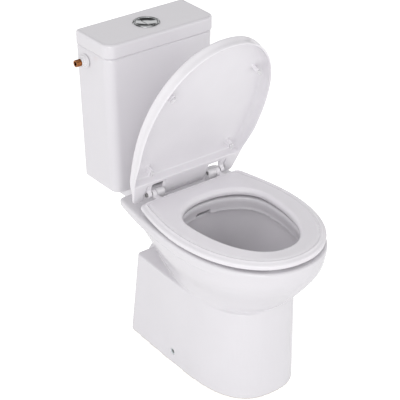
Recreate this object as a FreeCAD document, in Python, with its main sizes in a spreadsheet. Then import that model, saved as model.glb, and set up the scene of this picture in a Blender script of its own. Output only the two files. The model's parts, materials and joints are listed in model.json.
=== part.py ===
"""A close coupled toilet: pan, cistern with its flush and fill valves, seat and lid.

The frame is the floor's: X to the right as one faces the toilet, the front towards -Y, Z up.
The origin lies on the floor, midway between the holes of the two floor brackets.
"""

import FreeCAD, Part
import math
import os

import Sketcher
from FreeCAD import Rotation, Vector

DIMENSIONS = {
    # Pan: heights above the floor, distances along Y, half widths along X.
    "rim_height": 398, "rim_front": -346, "rim_half_width": 175, "widest_station": -88,
    "deck_rear": 172, "deck_half_width": 149, "deck_corner": 14,
    "valley_height": 240, "foot_front": -247, "foot_half_width": 119, "foot_rear": 189,
    "foot_rear_half_width": 110, "foot_rear_lean": 35, "foot_wall": 11,
    "bowl_mouth_front": -290, "bowl_mouth_rear": 24, "bowl_mouth_half_width": 119,
    "trap_bore": 36, "trap_wall": 9, "outlet_height": 180, "outlet_radius": 51, "outlet_end": 198,
    "band_depth": 24, "band_rise": 0.07, "band_turn": 60,
    "tongue_half_width": 80, "tongue_rear": 310, "tongue_top": 384, "tongue_thickness": 36,
    # Floor fixing.
    "bracket_station": 85, "bracket_hole": 5, "bracket_width": 34, "bracket_height": 48,
    "bracket_gauge": 4, "side_hole": 8, "side_hole_height": 33, "side_screw": 4,
    # Cistern.
    "wall_plane": 320, "tank_front": 186, "tank_base": 398, "tank_top": 754,
    "tank_half_width_low": 143.5, "tank_half_width_high": 155, "tank_wall": 9, "tank_floor": 12,
    "tank_corner": 24, "cover_half_width": 158, "cover_front": 182, "cover_top": 790,
    "cover_corner": 28, "cover_edge": 6, "cover_gap": 0.3,
    "tank_bolt_station": 62, "tank_bolt_radius": 4,
    # Valves inside the cistern.
    "valve_station": 250, "tower_radius": 34, "tower_top": 646, "tube_radius": 14,
    "lever_station": 44, "lever_height": 690, "lever_grip": 5,
    "inlet_station": 280, "inlet_height": 722, "inlet_radius": 8.33, "inlet_end": -184.5,
    "inlet_reach": 13,
    "float_pivot": -92, "float_radius": 24, "float_left": 75, "float_length": 58,
    # Buttons.
    "button_radius": 27, "bezel_radius": 33.5, "button_travel": 6,
    # Seat and its cover.
    "hinge_station": 99, "hinge_height": 426, "hinge_spread": 77.5, "hinge_pin": 5,
    "seat_underside": 406, "seat_top": 424, "seat_front": -340, "seat_half_width": 176,
    "seat_rear": 81, "seat_rear_half_width": 153, "seat_hole_front": -282, "seat_hole_rear": 19,
    "seat_hole_half_width": 115,
    "lid_underside": 420.4, "lid_thickness": 32, "lid_clearance": 428, "lid_front": -354, "lid_half_width": 177,
    "lid_rear": 121, "lid_rear_half_width": 151, "lid_opening": 67.5, "lid_shell": 4,
}

doc = FreeCAD.newDocument("CloseCoupledToilet")
sheet = doc.addObject("Spreadsheet::Sheet", "dims")
for row, (alias, value) in enumerate(DIMENSIONS.items(), start=1):
    sheet.set(f"A{row}", alias)
    sheet.set(f"B{row}", str(value))
    sheet.setAlias(f"B{row}", alias)
doc.recompute()


class Size:
    """A length worked out from the sheet, kept with the formula that binds it there."""

    def __init__(self, value, formula):
        self.value = value
        self.formula = formula

    def combine(self, other, sign, value):
        second = other.formula if isinstance(other, Size) else other
        return Size(value, f"({self.formula} {sign} {second})")

    def __add__(self, other):
        return self.combine(other, "+", self.value + number(other))

    def __sub__(self, other):
        return self.combine(other, "-", self.value - number(other))

    def __mul__(self, other):
        return self.combine(other, "*", self.value * number(other))

    def __rsub__(self, other):
        return Size(other - self.value, f"({other} - {self.formula})")

    def __neg__(self):
        return 0 - self

    __radd__ = __add__
    __rmul__ = __mul__


def number(length):
    """The plain value of a Size or of a number."""
    return length.value if isinstance(length, Size) else length


def dim(alias):
    """The Size in the sheet's cell of that name."""
    return Size(float(sheet.get(alias)), f"dims.{alias}")


def val(alias):
    """The plain number in the sheet's cell of that name."""
    return float(sheet.get(alias))


def bind(thing, prop, length):
    """Bind one property to its formula, or set it where the length is a plain number."""
    if isinstance(length, Size):
        thing.setExpression(prop, length.formula)
    else:
        thing.setExpression(prop, str(length))


def place(thing, x, y, z, turn=Rotation()):
    thing.Placement = FreeCAD.Placement(Vector(number(x), number(y), number(z)), turn)
    for axis, length in zip("xyz", (x, y, z)):
        bind(thing, f"Placement.Base.{axis}", length)


# ---------------------------------------------------------------- shared ways of making a piece

pieces = {}


def piece(node, thing):
    """Give a finished sub-part its name, which is its file's name too."""
    thing.Label = node
    pieces[node] = thing
    return thing


def block(x, y, z):
    """A box between the low and high of each pair."""
    box = doc.addObject("Part::Box", "Block")
    for prop, (low, high) in zip(("Length", "Width", "Height"), (x, y, z)):
        bind(box, prop, high - low)
    place(box, x[0], y[0], z[0])
    return box


def rod(axis, radius, centre, low, high):
    """A cylinder along one axis; centre holds the other two coordinates in X, Y, Z order."""
    bar = doc.addObject("Part::Cylinder", "Rod")
    bind(bar, "Radius", radius)
    bind(bar, "Height", high - low)
    first, second = centre
    if axis == "x":
        place(bar, low, first, second, Rotation(Vector(0, 1, 0), 90))
    elif axis == "y":
        place(bar, first, low, second, Rotation(Vector(1, 0, 0), -90))
    else:
        place(bar, first, second, low)
    return bar


def joined(*parts):
    union = doc.addObject("Part::MultiFuse", "Joined")
    union.Shapes = list(parts)
    return union


def cut(base, *tools):
    result = doc.addObject("Part::Cut", "Cut")
    result.Base = base
    result.Tool = tools[0] if len(tools) == 1 else joined(*tools)
    return result


def common(first, second):
    result = doc.addObject("Part::Common", "Common")
    result.Base = first
    result.Tool = second
    return result


def group(*parts):
    """Separate solids that share one node."""
    compound = doc.addObject("Part::Compound", "Group")
    compound.Links = list(parts)
    return compound


def turned(profile, x, y):
    """A PartDesign body revolved about the vertical through (x, y); profile is (radius, height)."""
    body = doc.addObject("PartDesign::Body", "Turned")
    sketch = body.newObject("Sketcher::SketchObject", "Profile")
    plane = next(f for f in body.Origin.OriginFeatures if f.Role == "XZ_Plane")
    sketch.AttachmentSupport = (plane, [""])
    sketch.MapMode = "FlatFace"
    points = [Vector(number(r), number(h), 0) for r, h in profile]
    for index, start in enumerate(points):
        end = points[(index + 1) % len(points)]
        sketch.addGeometry(Part.LineSegment(start, end), False)
    for index in range(len(points)):
        following = (index + 1) % len(points)
        sketch.addConstraint(Sketcher.Constraint("Coincident", index, 2, following, 1))
    for index, (radius, height) in enumerate(profile):
        if number(radius) == 0:
            sketch.addConstraint(Sketcher.Constraint("PointOnObject", index, 1, -2))
        else:
            hold(sketch, "DistanceX", index, radius)
        hold(sketch, "DistanceY", index, height)
    doc.recompute()
    spin = body.newObject("PartDesign::Revolution", "Spin")
    spin.Profile = sketch
    spin.ReferenceAxis = (sketch, ["V_Axis"])
    spin.Angle = 360
    body.Tip = spin
    place(body, x, y, 0)
    return body


def hold(sketch, kind, index, length):
    """Hold the start point of a sketch line at a distance from the sketch's origin."""
    value = number(length)
    at = sketch.addConstraint(Sketcher.Constraint(kind, -1, 1, index, 1, value))
    if isinstance(length, Size):
        sketch.setExpression(f"Constraints[{at}]", length.formula)


def ring(outer, inner, low, high, x, y):
    """A plain turned ring between two heights."""
    return turned([(inner, low), (outer, low), (outer, high), (inner, high)], x, y)


def feature(shape):
    """A document object for a freely shaped piece."""
    thing = doc.addObject("Part::Feature", "Shape")
    thing.Shape = shape
    return thing


# ---------------------------------------------------------------- plan outlines and lofts

def pan_half_outline(front, widest, rear, half_width, rear_half_width, corner, nose):
    """Right half of a plan, from the rear corner's start round to the nose."""
    points = []
    for step in range(4):
        turn = math.radians(30 * step)
        across = rear_half_width - corner * (1 - math.sin(turn))
        points.append((across, rear - corner * (1 - math.cos(turn))))
    side_start = rear - corner
    for step in range(1, 7):
        share = step / 7
        y = side_start + (widest - side_start) * share
        swell = 1 - (1 - share) ** 1.7
        points.append((rear_half_width + (half_width - rear_half_width) * swell, y))
    for step in range(13):
        turn = math.radians(90 * step / 12)
        across = half_width * math.cos(turn) ** (2 / nose) if step < 12 else 0
        points.append((across, widest + (front - widest) * math.sin(turn) ** (2 / nose)))
    return points


def outline(z, front, widest, rear, half_width, rear_half_width, corner=14, nose=2.15):
    """A closed plan wire: one smooth curve round the front, closed by a straight rear edge."""
    half = pan_half_outline(front, widest, rear, half_width, rear_half_width, corner, nose)
    loop = [Vector(x, y, z) for x, y in half]
    loop += [Vector(-x, y, z) for x, y in reversed(half[:-1])]
    curve = Part.BSplineCurve()
    curve.interpolate(Points=loop)
    return Part.Wire([curve.toShape(), Part.LineSegment(loop[-1], loop[0]).toShape()])


def oval(z, front, widest, rear, half_width, rear_power=2.15, count=36):
    """A closed smooth plan wire with its own length and fullness behind its widest station."""
    points = []
    for step in range(count):
        turn = 2 * math.pi * step / count
        c, s = math.cos(turn), math.sin(turn)
        power = rear_power if s > 0 else 2.15
        x = math.copysign(half_width * abs(c) ** (2 / power), c)
        reach = (rear - widest) if s > 0 else (widest - front)
        y = widest + math.copysign(reach * abs(s) ** (2 / power), s)
        points.append(Vector(x, y, z))
    curve = Part.BSplineCurve()
    curve.interpolate(Points=points, PeriodicFlag=True)
    return Part.Wire([curve.toShape()])


def loft(wires, ruled=False):
    return Part.makeLoft(wires, True, ruled)


def rounded_plan(z, half_width, front, back, front_corner, back_corner):
    """A rectangle in plan with its own corner radius at the front and at the back."""
    f, b = front_corner, back_corner
    diagonal = 1 - math.sqrt(0.5)

    def at(x, y):
        return Vector(x, y, z)

    w = half_width
    edges = [
        Part.LineSegment(at(-w + f, front), at(w - f, front)),
        Part.Arc(at(w - f, front), at(w - f * diagonal, front + f * diagonal), at(w, front + f)),
        Part.LineSegment(at(w, front + f), at(w, back - b)),
        Part.Arc(at(w, back - b), at(w - b * diagonal, back - b * diagonal), at(w - b, back)),
        Part.LineSegment(at(w - b, back), at(-w + b, back)),
        Part.Arc(at(-w + b, back), at(-w + b * diagonal, back - b * diagonal), at(-w, back - b)),
        Part.LineSegment(at(-w, back - b), at(-w, front + f)),
        Part.Arc(at(-w, front + f), at(-w + f * diagonal, front + f * diagonal), at(-w + f, front)),
    ]
    return Part.Wire([edge.toShape() for edge in edges])


def prism(wire, height):
    return Part.Face(wire).extrude(Vector(0, 0, height))


def box_shape(x, y, z):
    shape = Part.makeBox(x[1] - x[0], y[1] - y[0], z[1] - z[0])
    shape.translate(Vector(x[0], y[0], z[0]))
    return shape


def bar_shape(radius, start, end):
    """A round bar between two points."""
    along = Vector(*end) - Vector(*start)
    return Part.makeCylinder(radius, along.Length, Vector(*start), along)


def both_sides(make):
    """The same solid on the left (-1) and on the right (+1)."""
    return [make(-1), make(1)]


# ---------------------------------------------------------------- pan

def bowl_outside():
    """The flared bowl and its deck, from the valley up to the rim."""
    rim, front, wide = val("rim_height"), val("rim_front"), val("rim_half_width")
    rear, deck = val("deck_rear"), val("deck_half_width")
    widest, valley = val("widest_station"), val("valley_height")
    foot, foot_front = val("foot_half_width"), val("foot_front")
    # Each level: height, inset of the front, of the sides, and of the deck's rear corners.
    levels = [
        (rim, 3, 3, 3), (rim - 3, 0.5, 0.5, 0.5), (rim - 8, 0, 0, 0), (rim - 24, 2, 3.5, 9),
        (rim - 44, 7, 7, 26), (rim - 66, 19, 14, 42), (rim - 90, 37, 27, 55),
        (rim - 115, 58, 41, 67), (rim - 138, 80, 51, 79),
    ]
    wires = [
        outline(z, front + nose_in, widest, rear - min(corner_in, 16), wide - side_in,
                deck - corner_in, val("deck_corner"))
        for z, nose_in, side_in, corner_in in levels
    ]
    wires.append(outline(valley, foot_front + 3, widest, rear - 17, foot - 2, 58))
    wires.append(outline(valley - 16, foot_front + 10, widest, rear - 18, foot - 9, 52))
    return loft(wires)


def deck_band():
    """The upright edge of the deck; its lower edge is level, then rises towards the wall."""
    rim, depth, turn = val("rim_height"), val("band_depth"), val("band_turn")
    low, back = rim - depth, 230
    band = prism(outline(low - 10, val("rim_front") + 9, val("widest_station"),
                         val("deck_rear") - 0.5, val("rim_half_width") - 1,
                         val("deck_half_width") - 0.5, val("deck_corner")), depth)
    below = Part.Face(Part.makePolygon([
        Vector(0, -400, low - 20), Vector(0, -400, low), Vector(0, turn, low),
        Vector(0, back, low + (back - turn) * val("band_rise")), Vector(0, back, low - 20),
        Vector(0, -400, low - 20),
    ])).extrude(Vector(400, 0, 0))
    below.translate(Vector(-200, 0, 0))
    return band.cut(below)


def pedestal(inset, low, high):
    """The standing foot, its rear edge leaning forward as it rises; inset makes its hollow."""
    lean = val("foot_rear_lean") / val("valley_height")
    return loft([
        outline(z, val("foot_front") + inset, -67, val("foot_rear") - lean * z - inset,
                val("foot_half_width") - inset, val("foot_rear_half_width") - inset, 10, 2.6)
        for z in (low, (low + high) / 2, high)
    ])


def bowl_inside(grow):
    """The basin's cavity below the rim; grow gives the outside of its wall."""
    levels = [
        (362, -303, -73, 36, 131), (350, -301, -73, 35, 130), (320, -286, -72, 30, 119),
        (280, -252, -66, 24, 99), (235, -200, -58, 16, 73), (190, -140, -50, 6, 50),
        (158, -98, -44, -4, 39),
    ]
    return loft([
        oval(z, front - grow, widest, rear + grow, half + grow, 2.9)
        for z, front, widest, rear, half in levels
    ])


def trap_path():
    """The waterway's centre line: down the sump, under, up over the weir, and out."""
    dip, weir = 50.0, 60.0
    sump_y, dip_z = -44.0, 116.0
    out_z = val("outlet_height")
    rise = math.radians(60)

    def at(y, z):
        return Vector(0, y, z)

    def on_dip(turn):
        return at(sump_y + dip + dip * math.sin(turn), dip_z - dip * math.cos(turn))

    low = on_dip(rise)
    climb = (out_z - weir * (1 - math.cos(rise)) - low.z) / math.sin(rise)
    crest = at(low.y + climb * math.cos(rise), low.z + climb * math.sin(rise))
    hub = at(crest.y + weir * math.sin(rise), out_z - weir)

    def on_weir(turn):
        return at(hub.y - weir * math.sin(turn), hub.z + weir * math.cos(turn))

    return Part.Wire([
        Part.LineSegment(at(sump_y, 205), at(sump_y, dip_z)).toShape(),
        Part.Arc(on_dip(-math.pi / 2), on_dip(-0.2), on_dip(rise)).toShape(),
        Part.LineSegment(low, crest).toShape(),
        Part.Arc(crest, on_weir(rise / 2), on_weir(0)).toShape(),
        Part.LineSegment(on_weir(0), at(val("outlet_end"), out_z)).toShape(),
    ])


def trap_tube(radius):
    path = trap_path()
    circle = Part.Wire([Part.Circle(Vector(0, -44, 205), Vector(0, 0, -1), radius).toShape()])
    return path.makePipe(Part.Face(circle))


def make_pan():
    """The ceramic pan: deck, flared bowl, hollow foot, trap, outlet and the cistern's tongue."""
    rim, top = val("rim_height"), val("tongue_top")
    bore, end = val("trap_bore"), val("outlet_end")
    out_z, out_r = val("outlet_height"), val("outlet_radius")
    tongue = prism(
        rounded_plan(top - val("tongue_thickness"), val("tongue_half_width"), 120,
                     val("tongue_rear"), 4, 30),
        val("tongue_thickness"),
    )
    spigot = bar_shape(out_r, (0, end - 26, out_z), (0, end, out_z))
    spigot = spigot.fuse(bar_shape(out_r - 0.6, (0, 120, out_z), (0, end - 25, out_z)))
    tube = trap_tube(bore + val("trap_wall"))
    basin = bowl_inside(9)
    hollow = pedestal(val("foot_wall"), -1, val("valley_height") - 14)
    hollow = hollow.cut(tube).cut(basin).cut(spigot)
    outside = pedestal(0, 0, val("valley_height") - 1).fuse(bowl_outside()).fuse(deck_band())
    body = outside.fuse(tongue).fuse(spigot).cut(hollow)
    mouth = [
        oval(z, val("bowl_mouth_front") - flare, -73, val("bowl_mouth_rear") + flare,
             val("bowl_mouth_half_width") + flare)
        for z, flare in ((rim + 1, 3), (rim - 3, 0.5), (rim - 8, 0), (rim - 37, 0))
    ]
    body = body.cut(bowl_inside(0)).cut(loft(mouth)).cut(trap_tube(bore))
    channel = box_shape((-20, 20), (20, 272), (rim - 37, rim - 26))
    inlet = bar_shape(31, (0, val("valve_station"), rim - 37), (0, val("valve_station"), top + 1))
    body = body.cut(channel).cut(inlet)
    for side in (-1, 1):
        hinge_x = side * val("hinge_spread")
        hinge_y = val("hinge_station")
        bolt_x = side * val("tank_bolt_station")
        fixing = ((side * 90, 0, val("side_hole_height")), (side * 130, 0, val("side_hole_height")))
        holes = [
            bar_shape(8, (hinge_x, hinge_y, rim - 42), (hinge_x, hinge_y, rim + 1)),
            bar_shape(6, (bolt_x, val("valve_station"), 300), (bolt_x, val("valve_station"), top + 1)),
            bar_shape(val("side_hole"), *fixing),
        ]
        for hole in holes:
            body = body.cut(hole)
    return feature(body)


# ---------------------------------------------------------------- floor fixing

def make_bracket(side):
    """An angle bracket: its foot takes the floor screw, its upright the side screw."""
    gauge, height = dim("bracket_gauge"), dim("bracket_height")
    half, station = dim("bracket_width") * 0.5, dim("bracket_station")
    wall = dim("foot_half_width") - dim("foot_wall") - 2
    if side > 0:
        foot_x, upright_x, hole_x = (station - 14, wall), (wall - gauge, wall), station
        through = (wall - gauge - 1, wall + 1)
    else:
        foot_x, upright_x, hole_x = (-wall, 14 - station), (-wall, gauge - wall), -station
        through = (-wall - 1, gauge - wall + 1)
    foot = block(foot_x, (-half, half), (Size(0, "0"), gauge))
    upright = block(upright_x, (-half, half), (Size(0, "0"), height))
    floor_hole = rod("z", dim("bracket_hole"), (hole_x, 0), -1 + gauge * 0, gauge + 1)
    side_hole = rod("x", dim("side_screw") + 0.1, (0, dim("side_hole_height")), *through)
    return cut(joined(foot, upright), floor_hole, side_hole)


def make_side_sleeve(side):
    """The plastic bush that lines the side hole, set back from the glaze."""
    reach = dim("foot_half_width") - dim("foot_wall") - 2
    outer, height = dim("side_hole") - 0.1, dim("side_hole_height")
    low, high = (reach, reach + 10.5) if side > 0 else (-reach - 10.5, -reach)
    mouth_low, mouth_high = (reach + 3, reach + 11) if side > 0 else (-reach - 11, -reach - 3)
    bush = rod("x", outer, (0, height), low, high)
    shank = rod("x", dim("side_screw") + 0.1, (0, height), low - 1, high + 1)
    seat = rod("x", outer - 1.8, (0, height), mouth_low, mouth_high)
    return cut(bush, shank, seat)


def make_side_screw(side):
    """The screw through the foot's side into the bracket, its head inside the bush."""
    reach = dim("foot_half_width") - dim("foot_wall") - 2
    height, radius = dim("side_hole_height"), dim("side_screw")
    if side > 0:
        shank, head, slot = (reach - 14, reach + 4), (reach + 3, reach + 7.5), (reach + 6, reach + 8)
    else:
        shank, head, slot = (-reach - 4, 14 - reach), (-reach - 7.5, -reach - 3), (-reach - 8, -reach - 6)
    body = joined(rod("x", radius, (0, height), *shank), rod("x", radius + 1.8, (0, height), *head))
    blade = block(slot, (Size(-5, "-5"), Size(5, "5")), (height - 0.7, height + 0.7))
    cross = block(slot, (Size(-0.7, "-0.7"), Size(0.7, "0.7")), (height - 5, height + 5))
    return cut(body, blade, cross)


# ---------------------------------------------------------------- cistern

def tank_plan(z, inset):
    share = (z - val("tank_base")) / (val("tank_top") - val("tank_base"))
    low, high = val("tank_half_width_low"), val("tank_half_width_high")
    half = low + (high - low) * share
    corner = val("tank_corner")
    return rounded_plan(z, half - inset, val("tank_front") - 1 * share + inset,
                        val("wall_plane") + 1 - inset, corner - inset * 0.7, 8 - inset * 0.5)


def make_tank():
    """The tapered ceramic tank, open at the top, with its valve, bolt and inlet holes."""
    base, top, wall = val("tank_base"), val("tank_top"), val("tank_wall")
    outer = loft([tank_plan(base, 3), tank_plan(base + 4, 0), tank_plan(top - 4, 0),
                  tank_plan(top, 3)], ruled=True)
    outer = outer.common(box_shape((-200, 200), (100, val("wall_plane")), (base - 1, top + 1)))
    inner = loft([tank_plan(base + val("tank_floor"), wall), tank_plan(top + 1, wall)], ruled=True)
    tank = outer.cut(inner)
    y, z = val("inlet_station"), val("inlet_height")
    tank = tank.cut(bar_shape(30, (0, val("valve_station"), base - 1),
                              (0, val("valve_station"), base + 20)))
    for side in (-1, 1):
        bolt_x = side * val("tank_bolt_station")
        tank = tank.cut(bar_shape(5, (bolt_x, val("valve_station"), base - 1),
                                  (bolt_x, val("valve_station"), base + 20)))
        tank = tank.cut(bar_shape(11, (side * 130, y, z), (side * 170, y, z)))
    return feature(tank)


def make_cover():
    """The cistern's lift-off cover: a rounded slab, hollow beneath, with a locating lip."""
    low, top = val("tank_top") + val("cover_gap"), val("cover_top")
    half, front, back = val("cover_half_width"), val("cover_front"), val("wall_plane")
    slab = prism(rounded_plan(low, half, front, back, val("cover_corner"), 10), top - low)
    upper = [e for e in slab.Edges if e.BoundBox.ZMin > top - 0.01]
    slab = slab.makeFillet(val("cover_edge"), upper)
    lower = [e for e in slab.Edges if e.BoundBox.ZMax < low + 0.01]
    slab = slab.makeFillet(3, lower)
    hollow = prism(rounded_plan(low - 1, half - 12, front + 13, back - 12, 20, 5), top - 10 - low)
    lip_low = low - 8
    lip = prism(rounded_plan(lip_low, half - 15.5, front + 16.5, back - 12, 16, 4), top - 12 - lip_low)
    lip = lip.cut(prism(rounded_plan(lip_low - 1, half - 19.5, front + 20.5, back - 16, 12, 3),
                        top - lip_low))
    slab = slab.cut(hollow).fuse(lip)
    slab = slab.cut(bar_shape(29.2, (0, val("valve_station"), low - 20),
                              (0, val("valve_station"), top + 1)))
    return feature(slab)


def make_tank_fixings():
    """Bolts, seals, washers and wing nuts that hold the cistern to the pan's tongue."""
    y, radius = dim("valve_station"), dim("tank_bolt_radius")
    inside = dim("tank_base") + dim("tank_floor")
    below = dim("tongue_top") - dim("tongue_thickness")

    def at(side):
        return dim("tank_bolt_station") * side

    def bolt(side):
        head = rod("z", radius + 3.5, (at(side), y), inside + 5, inside + 10)
        shank = rod("z", radius, (at(side), y), below - 24, inside + 5.5)
        slot = block((at(side) - 8, at(side) + 8), (y - 0.8, y + 0.8), (inside + 7.5, inside + 11))
        return cut(joined(head, shank), slot)

    def seal(side):
        return ring(radius + 7, radius + 0.1, inside, inside + 3.5, at(side), y)

    def washer(side):
        upper = ring(radius + 6, radius + 0.1, inside + 3.5, inside + 5, at(side), y)
        lower = ring(radius + 8, radius + 0.1, below - 2, below, at(side), y)
        return [upper, lower]

    def wing_nut(side):
        hub = rod("z", radius + 3.5, (at(side), y), below - 12, below - 2)
        wings = block((at(side) - 15, at(side) + 15), (y - 1.5, y + 1.5), (below - 17, below - 6))
        thread = rod("z", radius + 0.1, (at(side), y), below - 30, below + 1)
        return cut(joined(hub, wings), thread)

    piece("tank_bolts", group(*both_sides(bolt)))
    piece("tank_bolt_seals", group(*both_sides(seal)))
    piece("tank_bolt_washers", group(*washer(-1), *washer(1)))
    piece("tank_wing_nuts", group(*both_sides(wing_nut)))
    piece("cistern_gasket", ring(46, 37.5, dim("tongue_top"), dim("tank_base"), 0 * y, y))


# ---------------------------------------------------------------- flush valve

def make_flush_valve():
    """Base, nut, tower, overflow tube, seal and the lever that lifts the tube."""
    y, tube = dim("valve_station"), dim("tube_radius")
    floor, low = dim("tank_base") + dim("tank_floor"), dim("tongue_top")
    tower, top = dim("tower_radius"), dim("tower_top")
    centre = 0 * y
    base = turned([(22, low + 1), (28, low + 1), (28, floor), (tower + 4, floor),
                   (tower + 4, floor + 3), (26, floor + 3), (26, floor + 5), (22, floor + 5)],
                  centre, y)
    piece("flush_valve_base", base)
    piece("flush_valve_nut", ring(36, 28.1, low + 4, dim("tank_base"), centre, y))

    shell = ring(tower, tower - 2.5, floor + 3, top, centre, y)
    cap = ring(tower, tube + 0.6, top, top + 4, centre, y)
    windows = [
        block((-40 + centre, 40 + centre), (y - 12, y + 12), (floor + 7, floor + 60)),
        block((-12 + centre, 12 + centre), (y - 40, y + 40), (floor + 7, floor + 60)),
        block((-40 + centre, 40 + centre), (y - 9, y + 9), (floor + 90, top - 40)),
    ]
    lever_x, lever_z = dim("lever_station"), dim("lever_height")
    ears = []
    for side in (-1, 1):
        near = (y + side * 7.5) if side > 0 else (y - 10.5)
        ears.append(block((20 + centre, lever_x + 5), (near, near + 3), (top + 2, lever_z + 5)))
    trigger = block((centre - 29, centre - 19.5), (y - 5, y + 5), (top + 2, lever_z - 4))
    pivot_bore = rod("y", 2.05, (lever_x, lever_z), y - 12, y + 12)
    body = joined(cut(shell, *windows), cap, trigger, *ears)
    piece("flush_valve_tower", cut(body, pivot_bore))
    piece("lever_pin", rod("y", 2, (lever_x, lever_z), y - 12, y + 12))

    grip = dim("lever_grip") * 0.5
    arm = block((centre + 16.5, lever_x + 14), (y - 4.5, y + 4.5), (lever_z - grip, lever_z + grip))
    hub = rod("y", 5, (lever_x, lever_z), y - 7, y + 7)
    piece("flush_lever", cut(joined(arm, hub), rod("y", 2.05, (lever_x, lever_z), y - 12, y + 12)))

    collar = lever_z + grip + 1.5
    stem = turned([(tube - 2, floor + 9), (tube, floor + 9), (tube, collar), (tube + 6, collar),
                   (tube + 6, collar + 3), (tube, collar + 3), (tube, collar + 18),
                   (tube - 2, collar + 18)], centre, y)
    piece("overflow_tube", stem)
    piece("valve_seal", turned([(tube - 2, floor + 5.3), (25, floor + 5.3), (25, floor + 8),
                                (tube + 4, floor + 9), (tube - 2, floor + 9)], centre, y))


# ---------------------------------------------------------------- fill valve

def make_fill_valve():
    """Side entry float valve, its brass inlet tail and nut, the float arm and the float."""
    y, z = dim("inlet_station"), dim("inlet_height")
    radius, end = dim("inlet_radius"), dim("inlet_end")
    wall = -dim("tank_half_width_high")
    pivot = dim("float_pivot")
    inner_face = wall + dim("tank_wall") + 1.75
    reach = end + dim("inlet_reach")
    bore = rod("x", radius - 3, (y, z), end - 1, wall + 30)
    tail = joined(rod("x", radius, (y, z), end, reach),
                  rod("x", radius - 0.25, (y, z), reach - 0.5, inner_face + 1.4))
    piece("inlet_shank", cut(tail, bore))
    nut = rod("x", 14, (y, z), wall - 9, wall - 0.4)
    flange = rod("x", 16.5, (y, z), wall - 2.6, wall - 0.4)
    collar = rod("x", 10.2, (y, z), reach + 0.6, wall - 8)
    piece("inlet_nut", cut(joined(nut, flange, collar),
                           rod("x", radius + 0.1, (y, z), wall - 20, wall + 5)))
    piece("inlet_washer", cut(rod("x", 16, (y, z), inner_face, inner_face + 3),
                              rod("x", radius + 0.1, (y, z), wall, wall + 40)))
    body = joined(
        rod("x", 13, (y, z), inner_face + 3, inner_face + 42),
        rod("x", 9, (y, z), inner_face + 40, pivot - 6),
        rod("z", 8, (inner_face + 26, y), z - 46, z),
    )
    fork_y = (y + 10, y + 14)
    fork = joined(block((pivot - 14, pivot + 4), fork_y, (z - 6, z + 6)),
                  block((pivot - 14, pivot - 8), (y, y + 14), (z - 6, z + 6)))
    pin = rod("y", 2, (pivot, z), y + 12, y + 25)
    socket = rod("x", radius + 0.1, (y, z), inner_face, inner_face + 5)
    piece("fill_valve_body", cut(joined(body, fork, pin), socket))

    arm_y = y + 19
    left, length = dim("float_left"), dim("float_length")
    arm = joined(
        rod("x", 2.5, (arm_y, z), pivot + 4, left + length * 0.5),
        rod("y", 5.5, (pivot, z), arm_y - 2.5, arm_y + 2.5),
        rod("z", 2.5, (left + length * 0.5, arm_y), z - 22, z),
    )
    piece("float_arm", cut(arm, rod("y", 2.05, (pivot, z), arm_y - 12, arm_y + 12)))
    float_y, float_z, float_r = y - 2, z - 44, dim("float_radius")
    drum = joined(rod("x", float_r, (float_y, float_z), left, left + length),
                  rod("x", float_r - 6, (float_y, float_z), left - 4, left + length + 4))
    piece("float_drum", cut(drum, rod("z", 2.5, (left + length * 0.5, arm_y), z - 22, z)))
    right = dim("tank_half_width_high")
    plug = joined(rod("x", 10.5, (y, z), right - 18, right + 0.5),
                  rod("x", 14, (y, z), right - 0.2 + 0.6, right + 3.5))
    piece("blanking_plug", plug)
    piece("blanking_plug_nut", cut(rod("x", 15, (y, z), right - 17, right - 10.8),
                                   rod("x", 10.6, (y, z), right - 20, right)))


# ---------------------------------------------------------------- flush buttons

def make_buttons():
    """The chrome bezel in the cover, its housing and nut, two half buttons, rods and springs."""
    y, radius, top = dim("valve_station"), dim("button_radius"), dim("cover_top")
    centre = 0 * y
    bezel_r, shelf = dim("bezel_radius"), dim("cover_top") - 24
    bezel = turned([(radius + 0.5, top), (bezel_r, top), (bezel_r, top + 1), (bezel_r - 2, top + 2.6),
                    (radius + 1.5, top + 2.6), (radius + 0.5, top + 1.8)], centre, y)
    piece("button_bezel", bezel)
    housing = turned([(radius + 0.4, top), (radius + 2, top), (radius + 2, shelf - 12),
                      (radius - 19.6, shelf - 12), (radius - 19.6, shelf - 9.5),
                      (radius + 0.4, shelf - 9.5)], centre, y)
    slots = [block((centre + side * 23.9 - 2.7, centre + side * 23.9 + 2.7), (y - 4.6, y + 4.6),
                   (shelf - 14, shelf - 8)) for side in (-1, 1)]
    piece("button_housing", cut(housing, *slots))
    under = top - 11
    piece("housing_nut", ring(radius + 9, radius + 2.1, under - 9, under - 0.2, centre, y))

    cap = turned([(0, top - 9), (radius, top - 9), (radius, top + 0.6), (radius - 1.6, top + 2),
                  (12, top + 1.4), (0, top + 1.2)], centre, y)
    split = radius * 0.18
    full_zone = block((centre - split + 0.4, centre + 40), (y - 40, y + 40), (top - 20, top + 10))
    piece("full_flush_button", common(cap, full_zone))
    other = turned([(0, top - 9), (radius, top - 9), (radius, top + 0.6), (radius - 1.6, top + 2),
                    (12, top + 1.4), (0, top + 1.2)], centre, y)
    half_zone = block((centre - 40, centre - split - 0.4), (y - 40, y + 40), (top - 20, top + 10))
    piece("half_flush_button", common(other, half_zone))

    lever_x, press = dim("lever_station"), dim("lever_height") + dim("lever_grip") * 0.5 + 1
    stem_x = centre + 24
    piece("full_flush_rod", joined(
        block((stem_x - 1.5, stem_x + 2), (y - 4, y + 4), (press + 22, top - 9)),
        block((stem_x - 1.5, lever_x + 14), (y - 4, y + 4), (press + 22, press + 26)),
        block((lever_x + 11, lever_x + 14), (y - 4, y + 4), (press, press + 24)),
    ))
    piece("half_flush_rod", block((-stem_x - 2, 1.5 - stem_x), (y - 4, y + 4), (press, top - 9)))

    for name, side in (("full_flush_spring", 1), ("half_flush_spring", -1)):
        coil = ring(4.2, 3.0, shelf - 9.3, top - 9.2, centre + side * 12, y)
        piece(name, coil)


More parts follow.
